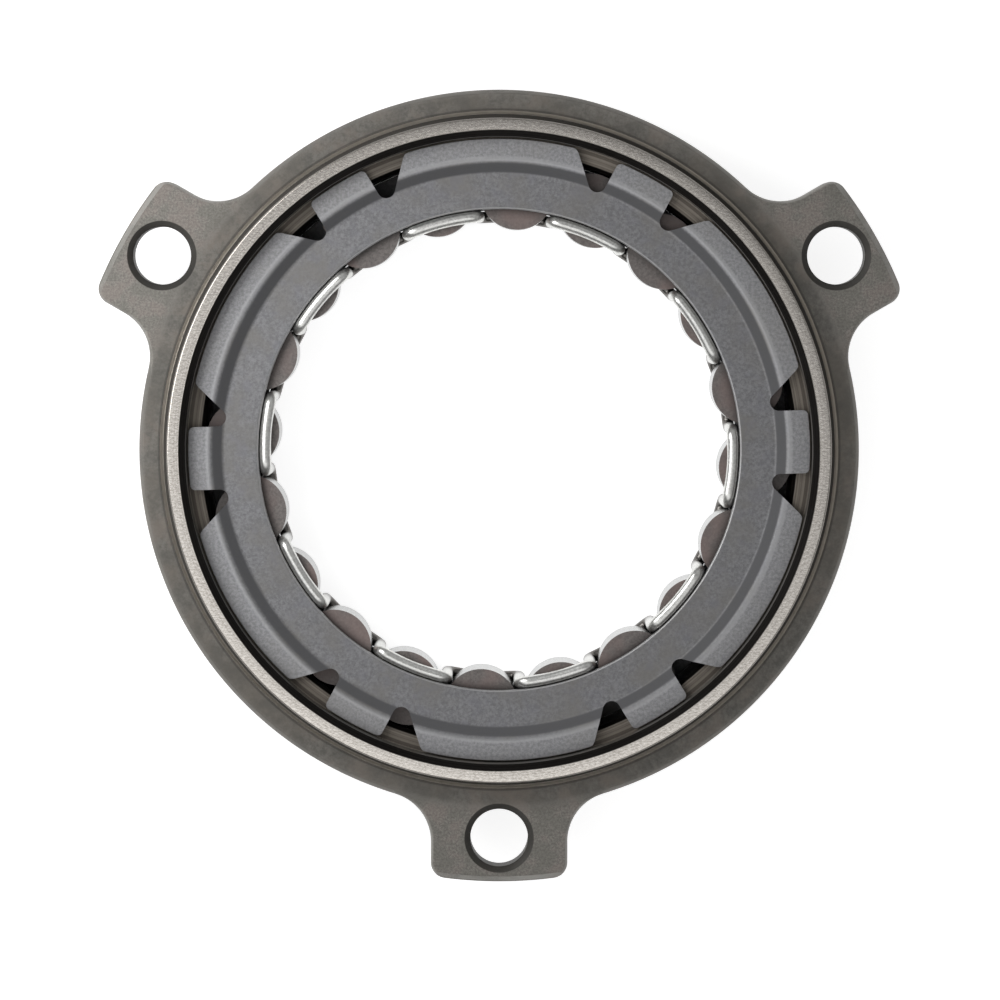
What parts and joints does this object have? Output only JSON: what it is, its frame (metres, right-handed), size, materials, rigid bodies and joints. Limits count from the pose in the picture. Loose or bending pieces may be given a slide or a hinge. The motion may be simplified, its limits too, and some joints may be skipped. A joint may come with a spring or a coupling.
{
  "type": "sprag starter clutch",
  "caption": "One-way starter clutch: lugged outer race with a pressed cage, sprags that grip a hub, and one meander spring that loads the sprags.",
  "frame": {"origin": "on the clutch's axis, in the plane of the outer race's back face", "axes": "+Z along the axis towards the ground rim and the cage's tabs; one lug points to -Y"},
  "size_m": [0.09, 0.0892, 0.0165],
  "materials": {
    "race_steel": "manganese phosphate, with ground and turned bright faces",
    "cage_steel": "pressed sheet, matt grey phosphate",
    "sprag_steel": "brown-grey hardened ends, polished gripping faces",
    "spring_wire": "bright drawn stainless wire"
  },
  "bodies": {
    "outer_race": {"outer_race": "race_steel"},
    "cage": {"cage": "cage_steel", "meander_spring": "spring_wire"},
    "sprag_01": {"sprag_01": "sprag_steel"},
    "sprag_02": {"sprag_02": "sprag_steel"},
    "sprag_03": {"sprag_03": "sprag_steel"},
    "sprag_04": {"sprag_04": "sprag_steel"},
    "sprag_05": {"sprag_05": "sprag_steel"},
    "sprag_06": {"sprag_06": "sprag_steel"},
    "sprag_07": {"sprag_07": "sprag_steel"},
    "sprag_08": {"sprag_08": "sprag_steel"},
    "sprag_09": {"sprag_09": "sprag_steel"},
    "sprag_10": {"sprag_10": "sprag_steel"},
    "sprag_11": {"sprag_11": "sprag_steel"},
    "sprag_12": {"sprag_12": "sprag_steel"},
    "sprag_13": {"sprag_13": "sprag_steel"},
    "sprag_14": {"sprag_14": "sprag_steel"},
    "sprag_15": {"sprag_15": "sprag_steel"},
    "sprag_16": {"sprag_16": "sprag_steel"},
    "sprag_17": {"sprag_17": "sprag_steel"},
    "sprag_18": {"sprag_18": "sprag_steel"},
    "sprag_19": {"sprag_19": "sprag_steel"},
    "sprag_20": {"sprag_20": "sprag_steel"}
  },
  "joints": [
    {"name": "cage_spin", "type": "hinge", "parent": "outer_race", "child": "cage", "pos_m": [0, 0, 0.0065], "axis": [0, 0, 1], "continuous": true},
    {"name": "sprag_01_tilt", "type": "hinge", "parent": "cage", "child": "sprag_01", "pos_m": [0.00202, 0.02893, 0.0065], "axis": [0, 0, 1], "range_deg": [0, 8], "stiffness_Nm_per_rad": 0.004, "springref_deg": -14.32},
    {"name": "sprag_02_tilt", "type": "hinge", "parent": "cage", "child": "sprag_02", "pos_m": [0.01086, 0.02689, 0.0065], "axis": [0, 0, 1], "range_deg": [0, 8], "stiffness_Nm_per_rad": 0.004, "springref_deg": -14.32},
    {"name": "sprag_03_tilt", "type": "hinge", "parent": "cage", "child": "sprag_03", "pos_m": [0.01864, 0.02222, 0.0065], "axis": [0, 0, 1], "range_deg": [0, 8], "stiffness_Nm_per_rad": 0.004, "springref_deg": -14.32},
    {"name": "sprag_04_tilt", "type": "hinge", "parent": "cage", "child": "sprag_04", "pos_m": [0.02459, 0.01537, 0.0065], "axis": [0, 0, 1], "range_deg": [0, 8], "stiffness_Nm_per_rad": 0.004, "springref_deg": -14.32},
    {"name": "sprag_05_tilt", "type": "hinge", "parent": "cage", "child": "sprag_05", "pos_m": [0.02814, 0.00702, 0.0065], "axis": [0, 0, 1], "range_deg": [0, 8], "stiffness_Nm_per_rad": 0.004, "springref_deg": -14.32},
    {"name": "sprag_06_tilt", "type": "hinge", "parent": "cage", "child": "sprag_06", "pos_m": [0.02893, -0.00202, 0.0065], "axis": [0, 0, 1], "range_deg": [0, 8], "stiffness_Nm_per_rad": 0.004, "springref_deg": -14.32},
    {"name": "sprag_07_tilt", "type": "hinge", "parent": "cage", "child": "sprag_07", "pos_m": [0.02689, -0.01086, 0.0065], "axis": [0, 0, 1], "range_deg": [0, 8], "stiffness_Nm_per_rad": 0.004, "springref_deg": -14.32},
    {"name": "sprag_08_tilt", "type": "hinge", "parent": "cage", "child": "sprag_08", "pos_m": [0.02222, -0.01864, 0.0065], "axis": [0, 0, 1], "range_deg": [0, 8], "stiffness_Nm_per_rad": 0.004, "springref_deg": -14.32},
    {"name": "sprag_09_tilt", "type": "hinge", "parent": "cage", "child": "sprag_09", "pos_m": [0.01537, -0.02459, 0.0065], "axis": [0, 0, 1], "range_deg": [0, 8], "stiffness_Nm_per_rad": 0.004, "springref_deg": -14.32},
    {"name": "sprag_10_tilt", "type": "hinge", "parent": "cage", "child": "sprag_10", "pos_m": [0.00702, -0.02814, 0.0065], "axis": [0, 0, 1], "range_deg": [0, 8], "stiffness_Nm_per_rad": 0.004, "springref_deg": -14.32},
    {"name": "sprag_11_tilt", "type": "hinge", "parent": "cage", "child": "sprag_11", "pos_m": [-0.00202, -0.02893, 0.0065], "axis": [0, 0, 1], "range_deg": [0, 8], "stiffness_Nm_per_rad": 0.004, "springref_deg": -14.32},
    {"name": "sprag_12_tilt", "type": "hinge", "parent": "cage", "child": "sprag_12", "pos_m": [-0.01086, -0.02689, 0.0065], "axis": [0, 0, 1], "range_deg": [0, 8], "stiffness_Nm_per_rad": 0.004, "springref_deg": -14.32},
    {"name": "sprag_13_tilt", "type": "hinge", "parent": "cage", "child": "sprag_13", "pos_m": [-0.01864, -0.02222, 0.0065], "axis": [0, 0, 1], "range_deg": [0, 8], "stiffness_Nm_per_rad": 0.004, "springref_deg": -14.32},
    {"name": "sprag_14_tilt", "type": "hinge", "parent": "cage", "child": "sprag_14", "pos_m": [-0.02459, -0.01537, 0.0065], "axis": [0, 0, 1], "range_deg": [0, 8], "stiffness_Nm_per_rad": 0.004, "springref_deg": -14.32},
    {"name": "sprag_15_tilt", "type": "hinge", "parent": "cage", "child": "sprag_15", "pos_m": [-0.02814, -0.00702, 0.0065], "axis": [0, 0, 1], "range_deg": [0, 8], "stiffness_Nm_per_rad": 0.004, "springref_deg": -14.32},
    {"name": "sprag_16_tilt", "type": "hinge", "parent": "cage", "child": "sprag_16", "pos_m": [-0.02893, 0.00202, 0.0065], "axis": [0, 0, 1], "range_deg": [0, 8], "stiffness_Nm_per_rad": 0.004, "springref_deg": -14.32},
    {"name": "sprag_17_tilt", "type": "hinge", "parent": "cage", "child": "sprag_17", "pos_m": [-0.02689, 0.01086, 0.0065], "axis": [0, 0, 1], "range_deg": [0, 8], "stiffness_Nm_per_rad": 0.004, "springref_deg": -14.32},
    {"name": "sprag_18_tilt", "type": "hinge", "parent": "cage", "child": "sprag_18", "pos_m": [-0.02222, 0.01864, 0.0065], "axis": [0, 0, 1], "range_deg": [0, 8], "stiffness_Nm_per_rad": 0.004, "springref_deg": -14.32},
    {"name": "sprag_19_tilt", "type": "hinge", "parent": "cage", "child": "sprag_19", "pos_m": [-0.01537, 0.02459, 0.0065], "axis": [0, 0, 1], "range_deg": [0, 8], "stiffness_Nm_per_rad": 0.004, "springref_deg": -14.32},
    {"name": "sprag_20_tilt", "type": "hinge", "parent": "cage", "child": "sprag_20", "pos_m": [-0.00702, 0.02814, 0.0065], "axis": [0, 0, 1], "range_deg": [0, 8], "stiffness_Nm_per_rad": 0.004, "springref_deg": -14.32}
  ],
  "couplings": [
    {"joint": "sprag_02_tilt", "follows": "sprag_01_tilt", "ratio": 1},
    {"joint": "sprag_03_tilt", "follows": "sprag_01_tilt", "ratio": 1},
    {"joint": "sprag_04_tilt", "follows": "sprag_01_tilt", "ratio": 1},
    {"joint": "sprag_05_tilt", "follows": "sprag_01_tilt", "ratio": 1},
    {"joint": "sprag_06_tilt", "follows": "sprag_01_tilt", "ratio": 1},
    {"joint": "sprag_07_tilt", "follows": "sprag_01_tilt", "ratio": 1},
    {"joint": "sprag_08_tilt", "follows": "sprag_01_tilt", "ratio": 1},
    {"joint": "sprag_09_tilt", "follows": "sprag_01_tilt", "ratio": 1},
    {"joint": "sprag_10_tilt", "follows": "sprag_01_tilt", "ratio": 1},
    {"joint": "sprag_11_tilt", "follows": "sprag_01_tilt", "ratio": 1},
    {"joint": "sprag_12_tilt", "follows": "sprag_01_tilt", "ratio": 1},
    {"joint": "sprag_13_tilt", "follows": "sprag_01_tilt", "ratio": 1},
    {"joint": "sprag_14_tilt", "follows": "sprag_01_tilt", "ratio": 1},
    {"joint": "sprag_15_tilt", "follows": "sprag_01_tilt", "ratio": 1},
    {"joint": "sprag_16_tilt", "follows": "sprag_01_tilt", "ratio": 1},
    {"joint": "sprag_17_tilt", "follows": "sprag_01_tilt", "ratio": 1},
    {"joint": "sprag_18_tilt", "follows": "sprag_01_tilt", "ratio": 1},
    {"joint": "sprag_19_tilt", "follows": "sprag_01_tilt", "ratio": 1},
    {"joint": "sprag_20_tilt", "follows": "sprag_01_tilt", "ratio": 1}
  ]
}
